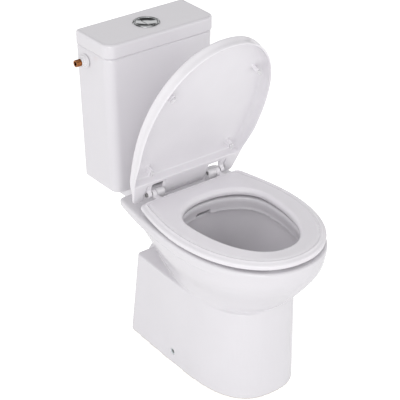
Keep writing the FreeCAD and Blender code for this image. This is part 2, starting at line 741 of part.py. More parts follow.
# ---------------------------------------------------------------- seat, lid and their hinges

def make_hinge_base(side):
    """A foot on the deck with an upright that carries the hinge pin."""
    x, y = dim("hinge_spread") * side, dim("hinge_station")
    deck, axis = dim("rim_height") + 0.2, dim("hinge_height")
    foot = ring(13.5, 3.1, deck, deck + 7, x, y)
    upright = block((x - 11, x + 11), (y - 8, y + 8), (deck + 5, axis))
    barrel = rod("x", 8.5, (y, axis), x - 11, x + 11)
    bolt_way = rod("z", 7, (x, y), deck + 4, axis - 7)
    pin_bore = rod("x", dim("hinge_pin"), (y, axis), x - 14, x + 14)
    return cut(joined(foot, cut(joined(upright, barrel), bolt_way)), pin_bore)


def make_hinge_pin(side):
    """The damped pin, held in the base and running out through the two lugs."""
    x = dim("hinge_spread") * side
    low, high = (x - 11, x + 40) if side > 0 else (x - 40, x + 11)
    return rod("x", dim("hinge_pin"), (dim("hinge_station"), dim("hinge_height")), low, high)


def make_hinge_fixings():
    """The screw and the expanding plug that hold each hinge base to the deck."""
    y, deck = dim("hinge_station"), dim("rim_height") + 0.2

    def screw(side):
        x = dim("hinge_spread") * side
        head = rod("z", 5.5, (x, y), deck + 7, deck + 11)
        return joined(head, rod("z", 3, (x, y), deck - 36, deck + 8))

    def plug(side):
        x = dim("hinge_spread") * side
        return ring(7.9, 3.1, deck - 38, deck - 0.4, x, y)

    piece("hinge_screws", group(*both_sides(screw)))
    piece("hinge_plugs", group(*both_sides(plug)))


def lug(low, high, reach, under):
    """A hinge lug between two X stations, bored for the pin and running forward to reach."""
    y, z = val("hinge_station"), val("hinge_height")
    knuckle = bar_shape(8.5, (low, y, z), (high, y, z))
    arm = box_shape((low, high), (y - reach, y), (z - under, z - 1.5))
    return knuckle.fuse(arm)


def seat_lug(side):
    inner = val("hinge_spread") + 11.4
    low, high = sorted((side * inner, side * (inner + 13)))
    return lug(low, high, 34, 8.5)


def make_seat():
    """The seat ring: crowned, open in the middle, its rear underside relieved for the hinge."""
    low, top = val("seat_underside"), val("seat_top")
    front, half = val("seat_front"), val("seat_half_width")
    rear, rear_half = val("seat_rear"), val("seat_rear_half_width")
    levels = [(low, 4), (low + 2, 1), (low + 6, 0), (top - 6.5, 0.6), (top - 5, 2), (top - 4.3, 5),
              (top - 3.9, 8), (top - 1.5, 9.5), (top - 0.3, 12.5), (top, 17)]
    outer = loft([
        outline(z, front + inset, val("widest_station"), rear - inset * 0.6, half - inset,
                rear_half - inset, 16)
        for z, inset in levels
    ])
    hole_levels = [(low - 1, 3), (low + 4, 0.5), (top - 8, 0), (top - 3, 2.5), (top + 1, 10)]
    hole = loft([
        oval(z, val("seat_hole_front") - flare, -73, val("seat_hole_rear") + flare,
             val("seat_hole_half_width") + flare)
        for z, flare in hole_levels
    ])
    seat = outer.cut(hole)
    relief = Part.Face(Part.makePolygon([
        Vector(0, rear + 3, low - 1), Vector(0, rear - 15, low - 1),
        Vector(0, rear - 1, low + 12), Vector(0, rear + 3, low + 12), Vector(0, rear + 3, low - 1),
    ])).extrude(Vector(400, 0, 0))
    relief.translate(Vector(-200, 0, 0))
    seat = seat.cut(relief)
    y, z = val("hinge_station"), val("hinge_height")
    for side in (-1, 1):
        seat = seat.fuse(seat_lug(side))
        inner = val("hinge_spread")
        low_x, high_x = sorted((side * (inner - 5), side * (inner + 42)))
        seat = seat.cut(bar_shape(val("hinge_pin") + 0.05, (low_x, y, z), (high_x, y, z)))
    return feature(seat)


def lid_solid():
    """The lid as it lies closed: a dish whose skirt comes down round the seat, tapering to its hinge."""
    low, deep = val("lid_underside"), val("lid_thickness")
    top = low + deep
    front, half = val("lid_front"), val("lid_half_width")
    rear, rear_half = val("lid_rear"), val("lid_rear_half_width")

    def section(z, inset):
        return outline(z, front + inset, val("widest_station") - 6, rear - inset * 0.5,
                       half - inset, rear_half - inset, 12)

    shell = loft([section(low, 1.4), section(low + 1.5, 0.3), section(low + 6, 0),
                  section(top - 7, 0.6), section(top - 2.5, 2.2), section(top - 0.6, 4.8),
                  section(top, 9)])
    skin = val("lid_shell")
    dish = loft([section(low - 1, 4.6), section(low + 8, 5), section(top - skin - 5, 8),
                 section(top - skin, 16)])
    clear = val("lid_clearance")
    rise = Part.Face(Part.makePolygon([
        Vector(0, -25, low - 2), Vector(0, -25, low), Vector(0, 45, clear),
        Vector(0, 160, clear), Vector(0, 160, low - 2), Vector(0, -25, low - 2),
    ])).extrude(Vector(400, 0, 0))
    rise.translate(Vector(-200, 0, 0))
    y, z = val("hinge_station"), val("hinge_height")
    taper = Part.Face(Part.makePolygon([
        Vector(0, y + 30, z + 6), Vector(0, y + 17, z + 9), Vector(0, y - 12, z + 13),
        Vector(0, y - 22, z + 16.5), Vector(0, y - 28, z + 19), Vector(0, y - 62, top + 2),
        Vector(0, y + 30, top + 2), Vector(0, y + 30, z + 6),
    ])).extrude(Vector(400, 0, 0))
    taper.translate(Vector(-200, 0, 0))
    solid = shell.cut(taper).cut(rise)
    below_taper = dish.common(box_shape((-200, 200), (-400, y - 42), (low - 2, top)))
    solid = solid.cut(below_taper)
    for side in (-1, 1):
        inner = val("hinge_spread") - 14
        low_x, high_x = sorted((side * inner, side * (inner + 55)))
        solid = solid.cut(box_shape((low_x, high_x), (y - 30, y + 40), (low - 5, top + 5)))
        knuckle_x = sorted((side * (val("hinge_spread") + 25.2), side * (val("hinge_spread") + 37.5)))
        low_lug, high_lug = knuckle_x
        arm = Part.Face(Part.makePolygon([
            Vector(low_lug, y, z - 8), Vector(low_lug, y, z + 8), Vector(low_lug, y - 20, z + 14),
            Vector(low_lug, y - 42, z + 17), Vector(low_lug, y - 42, clear + 0.5),
            Vector(low_lug, y - 12, clear + 0.5), Vector(low_lug, y, z - 8),
        ])).extrude(Vector(high_lug - low_lug, 0, 0))
        solid = solid.fuse(arm).fuse(bar_shape(8.5, (low_lug, y, z), (high_lug, y, z)))
        low_x, high_x = sorted((side * (val("hinge_spread") + 20), side * (val("hinge_spread") + 45)))
        solid = solid.cut(bar_shape(val("hinge_pin") + 0.05, (low_x, y, z), (high_x, y, z)))
    for boss in buffer_pads(LID_PADS, clear + 2, top - skin + 1, 5, 9.5):
        solid = solid.fuse(boss)
    return solid


def opened(shape):
    """Turn a shape from the closed lid's place to the lid's resting angle."""
    pivot = Vector(0, val("hinge_station"), val("hinge_height"))
    shape.rotate(pivot, Vector(-1, 0, 0), val("lid_opening"))
    return shape


def buffer_pads(stations, low, high, half_width, half_length):
    """Rounded pads, one pair for each station and its turn from the Y axis, as separate solids."""
    pads = []
    for x, y, turn in stations:
        for side in (-1, 1):
            plan = rounded_plan(low, half_width, -half_length, half_length, 3, 3)
            pad = prism(plan, high - low)
            pad.rotate(Vector(0, 0, 0), Vector(0, 0, 1), -side * turn)
            pad.translate(Vector(side * x, y, 0))
            pads.append(pad)
    return pads


LID_PADS = [(123, -224, 45), (118, 24, 0)]


def make_seat_and_lid():
    gap = 0.2
    for name, side in (("left", -1), ("right", 1)):
        piece(f"hinge_base_{name}", make_hinge_base(side))
        piece(f"hinge_pin_{name}", make_hinge_pin(side))
    make_hinge_fixings()
    piece("seat_ring", make_seat())
    seat_pads = buffer_pads([(148, -60, 0), (56, -308, 72)], val("rim_height") + gap,
                            val("seat_underside"), 5, 16)
    piece("seat_buffers", feature(Part.makeCompound(seat_pads)))
    piece("seat_lid", feature(opened(lid_solid())))
    lid_pads = buffer_pads(LID_PADS, val("seat_top") + gap, val("lid_clearance") + 2, 3.6, 8)
    piece("lid_buffers", feature(opened(Part.makeCompound(lid_pads))))


# ---------------------------------------------------------------- the whole toilet

def build():
    piece("pan", make_pan())
    for name, side in (("left", -1), ("right", 1)):
        piece(f"floor_bracket_{name}", make_bracket(side))
    piece("side_fixing_sleeves", group(*both_sides(make_side_sleeve)))
    piece("side_fixing_screws", group(*both_sides(make_side_screw)))
    piece("cistern_tank", make_tank())
    make_tank_fixings()
    make_flush_valve()
    make_fill_valve()
    piece("cistern_lid", make_cover())
    make_buttons()
    make_seat_and_lid()


def check_and_export():
    doc.recompute()
    failed = [o.Name for o in doc.Objects if {"Invalid", "Error"} & set(o.State)]
    if failed:
        raise RuntimeError(f"these objects failed: {failed}")
    os.makedirs("parts", exist_ok=True)
    for node, thing in pieces.items():
        if thing.Shape.isNull() or not thing.Shape.isValid() or not thing.Shape.Solids:
            raise RuntimeError(f"{node} has no valid solid")
        thing.Shape.exportStep(f"parts/{node}.step")
        print(node, len(thing.Shape.Solids), round(thing.Shape.Volume))


build()
check_and_export()
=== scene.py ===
"""Looks for a close coupled toilet, laid out as an add-on.

Sizes and finishes are scene properties, each piece or group of like pieces has an operator,
and a panel in the sidebar lists them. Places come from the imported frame, in metres.
"""

import json
import math

import bmesh
import bpy
from mathutils import Matrix, Vector

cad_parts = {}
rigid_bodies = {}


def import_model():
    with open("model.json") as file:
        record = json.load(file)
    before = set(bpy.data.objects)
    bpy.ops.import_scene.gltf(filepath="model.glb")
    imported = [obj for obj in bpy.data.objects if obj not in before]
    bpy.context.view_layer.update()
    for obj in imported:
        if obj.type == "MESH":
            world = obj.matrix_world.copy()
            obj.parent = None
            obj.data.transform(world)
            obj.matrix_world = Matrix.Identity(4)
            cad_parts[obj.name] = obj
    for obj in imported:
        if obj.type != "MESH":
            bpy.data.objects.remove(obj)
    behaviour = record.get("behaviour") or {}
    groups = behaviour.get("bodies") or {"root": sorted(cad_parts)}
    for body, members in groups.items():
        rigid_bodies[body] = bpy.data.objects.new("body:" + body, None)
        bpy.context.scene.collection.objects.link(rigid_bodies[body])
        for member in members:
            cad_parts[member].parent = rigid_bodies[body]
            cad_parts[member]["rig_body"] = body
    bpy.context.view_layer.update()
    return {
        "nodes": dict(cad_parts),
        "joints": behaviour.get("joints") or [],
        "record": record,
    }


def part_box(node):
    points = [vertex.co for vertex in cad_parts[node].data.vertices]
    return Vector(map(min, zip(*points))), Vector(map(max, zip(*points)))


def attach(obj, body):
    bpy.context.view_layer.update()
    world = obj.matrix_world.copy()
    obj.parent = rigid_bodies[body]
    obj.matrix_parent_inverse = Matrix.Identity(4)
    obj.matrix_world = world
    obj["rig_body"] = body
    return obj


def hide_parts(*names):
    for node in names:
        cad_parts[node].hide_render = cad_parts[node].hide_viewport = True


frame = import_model()

bl_info = {
    "name": "Close coupled toilet",
    "version": (1, 0, 0),
    "blender": (4, 5, 0),
    "location": "View3D > Sidebar > Toilet",
    "description": "Builds the china, seat, valves and fixings of a close coupled toilet",
    "category": "Add Mesh",
}

# A rebuilt piece is thinned to this many triangles.
TRIANGLE_LIMIT = 170000

# Rounds of smoothing after a piece is rebuilt on its grid.
PAN_PASSES = 6
CISTERN_PASSES = 2
BUTTON_PASSES = 2
SEAT_PASSES = 6
LID_PASSES = 9
CALM_PASSES = 24

# Where the pan and the seat are smoothed further, in metres. FOLD is a low and a high corner,
# with x taken without its sign. The seat's top lies above SEAT_TOP_FLOOR, before SEAT_TOP_REAR.
FOLD = ((0.095, -0.110, 0.255), (0.180, 0.060, 0.352))
SEAT_TOP_FLOOR = 0.4165
SEAT_TOP_REAR = 0.050

# Angles in degrees: edges flatter than these are dissolved, or shaded smooth.
FLAT_ANGLE = 1.0
EDGE_ANGLE = 32.0
WIRE_ANGLE = 60.0
ALL_SMOOTH = 180.0

# Other lengths, in metres. The glaze stops at BARE_FOOT above the floor.
MERGE_DISTANCE = 1e-6
BARE_FOOT = 0.0022
BUTTON_RIM = 0.003
INLET_THREAD = 0.0125
BOLT_RADIUS = 0.004
BOLT_HEAD_RADIUS = 0.0075

# Points round each curve, and the segments of a finer bevel.
RING_POINTS, CREST_POINTS = 48, 6
COIL_POINTS, WIRE_POINTS = 28, 10
FINE_SEGMENTS = 3

# The camera, in degrees, metres and millimetres.
AZIMUTH, ELEVATION, DISTANCE = -37.46, 29.27, 3.823
TARGET = (0.0, 0.020, 0.400)
LENS, SENSOR = 144.0, 36.0
SHIFT = (-0.01335, 0.00873)

# The floor, and its glow as the object gets it and as the camera sees it.
FLOOR_REACH = 12.0
FLOOR_GLOW = 0.10
FLOOR_GLOW_SEEN = 0.45

# Lamps: place, width and height, watts.
LAMP_AIM = (0.0, 0.0, 0.4)
KEY_LAMP = ((-2.5, -2.1, 1.4), (1.8, 2.2), 28.0)
FILL_LAMP = ((1.9, -2.7, 1.1), (1.6, 1.6), 6.0)

# The room's tones, as (height, tone) steps, height being the sine of the angle above the
# horizon: as light, as reflections from the near side, and from the side behind the object.
ROOM_STRENGTH = 1.06
ROOM_TONES = ((0.10, 1.0), (0.95, 0.66))
NEAR_CARDS = ((0.0, 0.95), (0.54, 0.85), (0.60, 0.05), (0.86, 0.03), (0.93, 0.7))
FAR_CARDS = ((0.05, 0.8), (0.09, 0.05), (0.27, 0.06), (0.31, 0.66), (0.44, 0.66), (0.49, 0.05),
             (0.86, 0.03), (0.93, 0.7))
FAR_SIDE = (0.61, 0.79, 0.0)
FAR_SHARE = 0.45

BODY_OF = {node: thing["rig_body"] for node, thing in frame["nodes"].items()}
SLOT_OF = {part["node"]: part["material_slot"] for part in frame["record"]["subparts"]}
JOINT = {joint["name"]: joint for joint in frame["joints"]}


# ---------------------------------------------------------------- properties

def length(default, name, description):
    """A length property whose default is in metres."""
    return bpy.props.FloatProperty(
        name=name, description=description, default=default, min=0.0, unit="LENGTH", precision=4)


def share(default, name, description):
    return bpy.props.FloatProperty(
        name=name, description=description, default=default, min=0.0, max=1.0, subtype="FACTOR")


def colour(default, name, description):
    return bpy.props.FloatVectorProperty(
        name=name, description=description, default=default, size=3, min=0.0, max=1.0,
        subtype="COLOR")


class ToiletSizes(bpy.types.PropertyGroup):
    pan_grid: length(0.0022, "Pan grid", "Grid that softens the pan's edges as glaze does")
    tank_grid: length(0.0027, "Tank grid", "Grid that softens the cistern's edges")
    cover_grid: length(0.0017, "Cover grid", "Grid that softens the cistern cover's edges")
    moulding_grid: length(0.0015, "Moulding grid", "Grid that rounds the seat and lid")
    edge_break: length(0.0006, "Edge break", "Bevel on small hardware")
    thread_pitch: length(0.00134, "Inlet pitch", "Pitch of the inlet tail's thread")
    thread_depth: length(0.00035, "Thread depth", "Height of the ridges on a thread")
    bolt_pitch: length(0.00125, "Bolt pitch", "Pitch of the tank bolts' thread")
    plated_edge: length(0.0005, "Plated edge", "Bevel on the button's bezel")
    buffer_edge: length(0.0012, "Buffer edge", "Bevel on the rubber buffers")
    wire_radius: length(0.0006, "Spring wire", "Radius of the button springs' wire")
    spring_turns: bpy.props.IntProperty(
        name="Spring turns", description="Coils in each button spring", default=7, min=2)
    button_grid: length(0.0005, "Button grid", "Grid that rounds the buttons")
    button_dish: length(0.0014, "Button dish", "Depth of the hollow in the flush buttons")


class ToiletFinishes(bpy.types.PropertyGroup):
    china: colour((0.725, 0.707, 0.737), "China", "Colour of the glazed ceramic")
    china_gloss: share(0.15, "China roughness", "Roughness of the glaze")
    bisque: colour((0.62, 0.57, 0.50), "Bisque", "Colour of the unglazed foot")
    seat: colour((0.800, 0.780, 0.812), "Seat", "Colour of the seat and lid moulding")
    seat_gloss: share(0.18, "Seat roughness", "Roughness of the seat and lid")
    plastic: colour((0.780, 0.765, 0.790), "White plastic", "Colour of nuts and hinge blocks")
    valve: colour((0.66, 0.70, 0.72), "Valve plastic", "Colour of the valve mouldings")
    chrome: colour((0.80, 0.81, 0.82), "Chrome", "Colour of the plated buttons")
    brass: colour((0.62, 0.25, 0.09), "Brass", "Colour of the inlet tail")
    steel: colour((0.38, 0.38, 0.37), "Steel", "Colour of the screws and pins")
    rubber: colour((0.030, 0.030, 0.032), "Rubber", "Colour of seals and washers")
    buffer: colour((0.84, 0.82, 0.85), "Buffers", "Colour of the translucent buffers")


def sizes():
    return bpy.context.scene.toilet_sizes


def finishes():
    return bpy.context.scene.toilet_finishes


# ---------------------------------------------------------------- shared shader effects

def new_group(name, inputs, outputs):
    """A shader node group with float inputs; returns the tree, its input and its output node."""
    tree = bpy.data.node_groups.new(name, "ShaderNodeTree")
    for label, default in inputs:
        socket = tree.interface.new_socket(label, in_out="INPUT", socket_type="NodeSocketFloat")
        socket.default_value = default
    for label in outputs:
        tree.interface.new_socket(label, in_out="OUTPUT", socket_type="NodeSocketFloat")
    return tree, tree.nodes.new("NodeGroupInput"), tree.nodes.new("NodeGroupOutput")


def maths(tree, operation, first, second):
    """A Math node fed by sockets or plain numbers."""
    node = tree.nodes.new("ShaderNodeMath")
    node.operation = operation
    for socket, source in zip(node.inputs, (first, second)):
        if isinstance(source, (int, float)):
            socket.default_value = source
        else:
            tree.links.new(source, socket)
    return node.outputs[0]


def noise(tree, place, scale, detail, stretch=None):
    """A noise texture on object coordinates, stretched by a Mapping node where asked."""
    if stretch:
        mapping = tree.nodes.new("ShaderNodeMapping")
        mapping.inputs["Scale"].default_value = stretch
        tree.links.new(place, mapping.inputs["Vector"])
        place = mapping.outputs["Vector"]
    node = tree.nodes.new("ShaderNodeTexNoise")
    tree.links.new(place, node.inputs["Vector"])
    node.inputs["Detail"].default_value = detail
    if isinstance(scale, (int, float)):
        node.inputs["Scale"].default_value = scale
    else:
        tree.links.new(scale, node.inputs["Scale"])
    return node.outputs["Fac"]


def object_place(tree):
    return tree.nodes.new("ShaderNodeTexCoord").outputs["Object"]


def make_orange_peel():
    """Height of a surface that set from a liquid: long slow waves under a fine dimple."""
    tree, given, out = new_group("OrangePeel", [("Wave Scale", 22.0), ("Dimple Scale", 420.0),
                                                ("Dimple Share", 0.12)], ["Height"])
    place = object_place(tree)
    waves = noise(tree, place, given.outputs["Wave Scale"], 1.0)
    dimples = noise(tree, place, given.outputs["Dimple Scale"], 2.0)
    fine = maths(tree, "MULTIPLY", dimples, given.outputs["Dimple Share"])
    tree.links.new(maths(tree, "ADD", waves, fine), out.inputs["Height"])


def make_mottle():
    """A slow drift in tone."""
    tree, given, out = new_group("Mottle", [("Scale", 9.0)], ["Drift"])
    drift = noise(tree, object_place(tree), given.outputs["Scale"], 3.0)
    tree.links.new(drift, out.inputs["Drift"])


def make_tool_marks():
    """Fine tool rings and rubbed patches on turned or drawn metal."""
    tree, given, out = new_group("ToolMarks", [("Ring Scale", 900.0), ("Rub Scale", 60.0)],
                                 ["Rings", "Rub"])
    place = object_place(tree)
    rings = noise(tree, place, given.outputs["Ring Scale"], 2.0, stretch=(0.06, 0.06, 1.0))
    tree.links.new(rings, out.inputs["Rings"])
    tree.links.new(noise(tree, place, given.outputs["Rub Scale"], 4.0), out.inputs["Rub"])


def place_group(tree, name, **values):
    """A shared effect placed in a material's tree, its inputs set by name."""
    node = tree.nodes.new("ShaderNodeGroup")
    node.node_tree = bpy.data.node_groups[name]
    for label, value in values.items():
        node.inputs[label.replace("_", " ")].default_value = value
    return node


# ---------------------------------------------------------------- materials

def new_material(name):
    material = bpy.data.materials.new(name)
    material.use_nodes = True
    tree = material.node_tree
    return material, tree, tree.nodes["Principled BSDF"]


def tinted(tree, mask, low, high, first, second):
    """A colour that runs between two as a mask goes from low to high."""
    ramp = tree.nodes.new("ShaderNodeValToRGB")
    ramp.color_ramp.elements[0].position = low
    ramp.color_ramp.elements[1].position = high
    ramp.color_ramp.elements[0].color = (*first, 1.0)
    ramp.color_ramp.elements[1].color = (*second, 1.0)
    tree.links.new(mask, ramp.inputs["Fac"])
    return ramp.outputs["Color"]


def spread(tree, mask, low, high):
    """A number that runs between low and high with a mask."""
    node = tree.nodes.new("ShaderNodeMapRange")
    node.inputs["To Min"].default_value = low
    node.inputs["To Max"].default_value = high
    tree.links.new(mask, node.inputs["Value"])
    return node.outputs["Result"]


def mix_colour(tree, mask, first, second):
    """A colour that goes from the first to the second as the mask goes from 0 to 1."""
    node = tree.nodes.new("ShaderNodeMix")
    node.data_type = "RGBA"
    sockets = {socket.identifier: socket for socket in node.inputs}
    tree.links.new(mask, sockets["Factor_Float"])
    tree.links.new(first, sockets["A_Color"])
    tree.links.new(second, sockets["B_Color"])
    return next(socket for socket in node.outputs if socket.identifier == "Result_Color")


def bump(tree, shader, height, strength, distance):
    node = tree.nodes.new("ShaderNodeBump")
    node.inputs["Strength"].default_value = strength
    node.inputs["Distance"].default_value = distance
    tree.links.new(height, node.inputs["Height"])
    tree.links.new(node.outputs["Normal"], shader.inputs["Normal"])


def scaled(tone, factor):
    return tuple(min(1.0, channel * factor) for channel in tone)


def china_material():
    """White glaze over clay: faint waves and drift in tone, bare and matt under the foot."""
    material, tree, shader = new_material("VitreousChina")
    looks = finishes()
    tone = tuple(looks.china)
    mottle = place_group(tree, "Mottle", Scale=7.0)
    glaze = tinted(tree, mottle.outputs["Drift"], 0.3, 0.7, scaled(tone, 0.985), scaled(tone, 1.01))
    split = tree.nodes.new("ShaderNodeSeparateXYZ")
    tree.links.new(object_place(tree), split.inputs[0])
    bare = maths(tree, "LESS_THAN", split.outputs["Z"], BARE_FOOT)
    clay = tinted(tree, mottle.outputs["Drift"], 0.3, 0.7, scaled(looks.bisque, 0.9), tuple(looks.bisque))
    tree.links.new(mix_colour(tree, bare, glaze, clay), shader.inputs["Base Color"])
    gloss = spread(tree, mottle.outputs["Drift"], looks.china_gloss * 0.8, looks.china_gloss * 1.25)
    tree.links.new(maths(tree, "MAXIMUM", gloss, maths(tree, "MULTIPLY", bare, 0.85)),
                   shader.inputs["Roughness"])
    shader.inputs["IOR"].default_value = 1.54
    shader.inputs["Coat Weight"].default_value = 0.20
    shader.inputs["Coat Roughness"].default_value = 0.12
    peel = place_group(tree, "OrangePeel", Wave_Scale=17.0, Dimple_Scale=380.0, Dimple_Share=0.03)
    bump(tree, shader, peel.outputs["Height"], strength=0.05, distance=0.0016)
    return material


def moulding_material(name, tone, rough, wave, grain):
    """Polished or satin moulded plastic with slight sink waves and a fine grain."""
    material, tree, shader = new_material(name)
    tone = tuple(tone)
    mottle = place_group(tree, "Mottle", Scale=14.0)
    tree.links.new(
        tinted(tree, mottle.outputs["Drift"], 0.25, 0.75, scaled(tone, 0.98), scaled(tone, 1.01)),
        shader.inputs["Base Color"])
    tree.links.new(spread(tree, mottle.outputs["Drift"], rough * 0.85, rough * 1.2),
                   shader.inputs["Roughness"])
    shader.inputs["IOR"].default_value = 1.5
    peel = place_group(tree, "OrangePeel", Wave_Scale=wave, Dimple_Scale=1500.0, Dimple_Share=grain)
    bump(tree, shader, peel.outputs["Height"], strength=0.12, distance=0.0008)
    return material


def metal_material(name, tone, rough, ring_strength, tarnish):
    """Plated or bare metal with tool rings, rubbed patches and a little tarnish."""
    material, tree, shader = new_material(name)
    tone = tuple(tone)
    marks = place_group(tree, "ToolMarks")
    tree.links.new(
        tinted(tree, marks.outputs["Rub"], 0.35, 0.7, scaled(tone, 1.0 - tarnish), tone),
        shader.inputs["Base Color"])
    tree.links.new(spread(tree, marks.outputs["Rub"], rough * 0.7, rough * 1.4),
                   shader.inputs["Roughness"])
    shader.inputs["Metallic"].default_value = 1.0
    bump(tree, shader, marks.outputs["Rings"], strength=ring_strength, distance=0.0003)
    return material


def rubber_material(name, tone, rough, see_through):
    """Moulded rubber: matt, faintly grained, dusty where it drifts; clear for the buffers."""
    material, tree, shader = new_material(name)
    tone = tuple(tone)
    mottle = place_group(tree, "Mottle", Scale=60.0)
    tree.links.new(
        tinted(tree, mottle.outputs["Drift"], 0.3, 0.8, tone, scaled(tone, 1.25)),
        shader.inputs["Base Color"])
    tree.links.new(spread(tree, mottle.outputs["Drift"], rough * 0.85, rough), shader.inputs["Roughness"])
    shader.inputs["Transmission Weight"].default_value = see_through
    peel = place_group(tree, "OrangePeel", Wave_Scale=90.0, Dimple_Scale=2600.0, Dimple_Share=0.5)
    bump(tree, shader, peel.outputs["Height"], strength=0.2, distance=0.0002)
    return material


def make_materials():
    """Every finish, by the name of the record's material slot."""
    looks = finishes()
    return {
        "vitreous_china": china_material(),
        "seat_plastic": moulding_material("SeatMoulding", looks.seat, looks.seat_gloss,
                                          wave=12.0, grain=0.02),
        "white_plastic": moulding_material("WhiteMoulding", looks.plastic, rough=0.28,
                                           wave=30.0, grain=0.15),
        "valve_plastic": moulding_material("ValveMoulding", looks.valve, rough=0.42,
                                           wave=40.0, grain=0.3),
        "chrome": metal_material("PolishedChrome", looks.chrome, rough=0.05,
                                 ring_strength=0.01, tarnish=0.03),
        "brass": metal_material("TurnedBrass", looks.brass, rough=0.24,
                                ring_strength=0.25, tarnish=0.35),
        "steel": metal_material("ZincPlatedSteel", looks.steel, rough=0.30,
                                ring_strength=0.15, tarnish=0.15),
        "rubber": rubber_material("BlackRubber", looks.rubber, rough=0.62, see_through=0.0),
        "clear_rubber": rubber_material("ClearBuffer", looks.buffer, rough=0.35, see_through=0.25),
    }


MATERIALS = {}


def finish_of(node):
    return MATERIALS[SLOT_OF[node]]


# ---------------------------------------------------------------- mesh helpers

def link(name, mesh):
    thing = bpy.data.objects.new(name, mesh)
    bpy.context.scene.collection.objects.link(thing)
    return thing


def merged_copy(node, name):
    """A copy of a CAD node as one closed mesh, its loose triangles joined."""
    mesh = frame["nodes"][node].data.copy()
    mesh.name = name
    work = bmesh.new()
    work.from_mesh(mesh)
    bmesh.ops.remove_doubles(work, verts=work.verts, dist=MERGE_DISTANCE)
    work.to_mesh(mesh)
    work.free()
    mesh.materials.clear()
    return link(name, mesh)


def settle(thing):
    """Apply every modifier, keeping the object at the origin."""
    graph = bpy.context.evaluated_depsgraph_get()
    graph.update()
    baked = bpy.data.meshes.new_from_object(thing.evaluated_get(graph))
    old = thing.data
    thing.modifiers.clear()
    thing.data = baked
    baked.name = thing.name
    bpy.data.meshes.remove(old)
    return thing


def smooth_shade(thing, angle):
    """Shade smooth, leaving edges sharper than the angle crisp."""
    mesh = thing.data
    mesh.polygons.foreach_set("use_smooth", [True] * len(mesh.polygons))
    mesh.set_sharp_from_angle(angle=math.radians(angle))


def stand_for(thing, *nodes):
    """Give a finished piece its finish, body and slot, in place of CAD nodes."""
    thing.data.materials.clear()
    thing.data.materials.append(finish_of(nodes[0]))
    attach(thing, BODY_OF[nodes[0]])
    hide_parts(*nodes)
    return thing


def relax(thing, passes, chosen=None):
    """Smooth a mesh's points, or only those that a test on their place chooses."""
    step = thing.modifiers.new("Relax", "SMOOTH")
    step.factor = 0.5
    step.iterations = passes
    if chosen:
        group = thing.vertex_groups.new(name="Chosen")
        group.add([v.index for v in thing.data.vertices if chosen(v.co)], 1.0, "REPLACE")
        step.vertex_group = group.name
    settle(thing)
    thing.vertex_groups.clear()


def rounded(node, name, grid_size, passes, turn=None, calm=None):
    """The CAD node with every edge softened as slip or resin leaves it.

    The copy is rebuilt on a fine grid and relaxed. turn lays a tilted piece square to the grid
    while that is done. calm chooses points to relax further.
    """
    thing = merged_copy(node, name)
    if turn:
        thing.data.transform(turn)
    grid = thing.modifiers.new("Grid", "REMESH")
    grid.mode = "VOXEL"
    grid.voxel_size = grid_size
    settle(thing)
    relax(thing, passes)
    if calm:
        relax(thing, CALM_PASSES, calm)
    triangles = 2 * len(thing.data.polygons)
    if triangles > TRIANGLE_LIMIT:
        thin = thing.modifiers.new("Thin", "DECIMATE")
        thin.ratio = TRIANGLE_LIMIT / triangles
        settle(thing)
    if turn:
        thing.data.transform(turn.inverted())
    smooth_shade(thing, ALL_SMOOTH)
    return stand_for(thing, node)


def eased(node, width=None, segments=2):
    """The CAD node with its flat faces cleaned up and every sharp edge broken."""
    thing = merged_copy(node, node + "_eased")
    work = bmesh.new()
    work.from_mesh(thing.data)
    bmesh.ops.dissolve_limit(work, angle_limit=math.radians(FLAT_ANGLE), use_dissolve_boundaries=False,
                             verts=work.verts, edges=work.edges)
    work.to_mesh(thing.data)
    work.free()
    bevel = thing.modifiers.new("EdgeBreak", "BEVEL")
    bevel.width = width or sizes().edge_break
    bevel.segments = segments
    bevel.limit_method = "ANGLE"
    bevel.angle_limit = math.radians(EDGE_ANGLE)
    bevel.harden_normals = True
    settle(thing)
    smooth_shade(thing, EDGE_ANGLE)
    return stand_for(thing, node)


def under_band(place):
    """Whether a place lies in the shallow fold under the pan's deck band."""
    low, high = FOLD
    return all(a <= c <= b for a, c, b in zip(low, (abs(place.x), place.y, place.z), high))


def on_seat_top(place):
    """Whether a place lies on the seat's crowned top, clear of the hinge lugs."""
    return place.z > SEAT_TOP_FLOOR and place.y < SEAT_TOP_REAR


def dished(node, middle, radius):
    """A button rounded on a fine grid, its top hollowed as one shallow dish round the middle."""
    thing = rounded(node, node + "_dished", sizes().button_grid, BUTTON_PASSES)
    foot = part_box(node)[1].z - BUTTON_RIM
    for vertex in thing.data.vertices:
        part = max(0.0, (vertex.co.z - foot) / BUTTON_RIM)
        reach = math.hypot(vertex.co.x - middle.x, vertex.co.y - middle.y) / radius
        vertex.co.z -= sizes().button_dish * part * max(0.0, 1.0 - reach * reach)
    return thing


def lid_square():
    """The turn that lays the resting lid down as if closed."""
    joint = JOINT["lid_hinge"]
    pivot = Vector(joint["pos_m"])
    closed = math.radians(joint["range_deg"][0])
    turn = Matrix.Rotation(closed, 4, Vector(joint["axis"]))
    return Matrix.Translation(pivot) @ turn @ Matrix.Translation(-pivot)


# ---------------------------------------------------------------- geometry nodes

def new_tree(name, inputs):
    """A geometry tree that makes its own geometry; inputs are (label, socket type, default)."""
    tree = bpy.data.node_groups.new(name, "GeometryNodeTree")
    for label, kind, default in inputs:
        socket = tree.interface.new_socket(label, in_out="INPUT", socket_type=kind)
        if default is not None:
            socket.default_value = default
    tree.interface.new_socket("Geometry", in_out="OUTPUT", socket_type="NodeSocketGeometry")
    return tree, tree.nodes.new("NodeGroupInput"), tree.nodes.new("NodeGroupOutput")


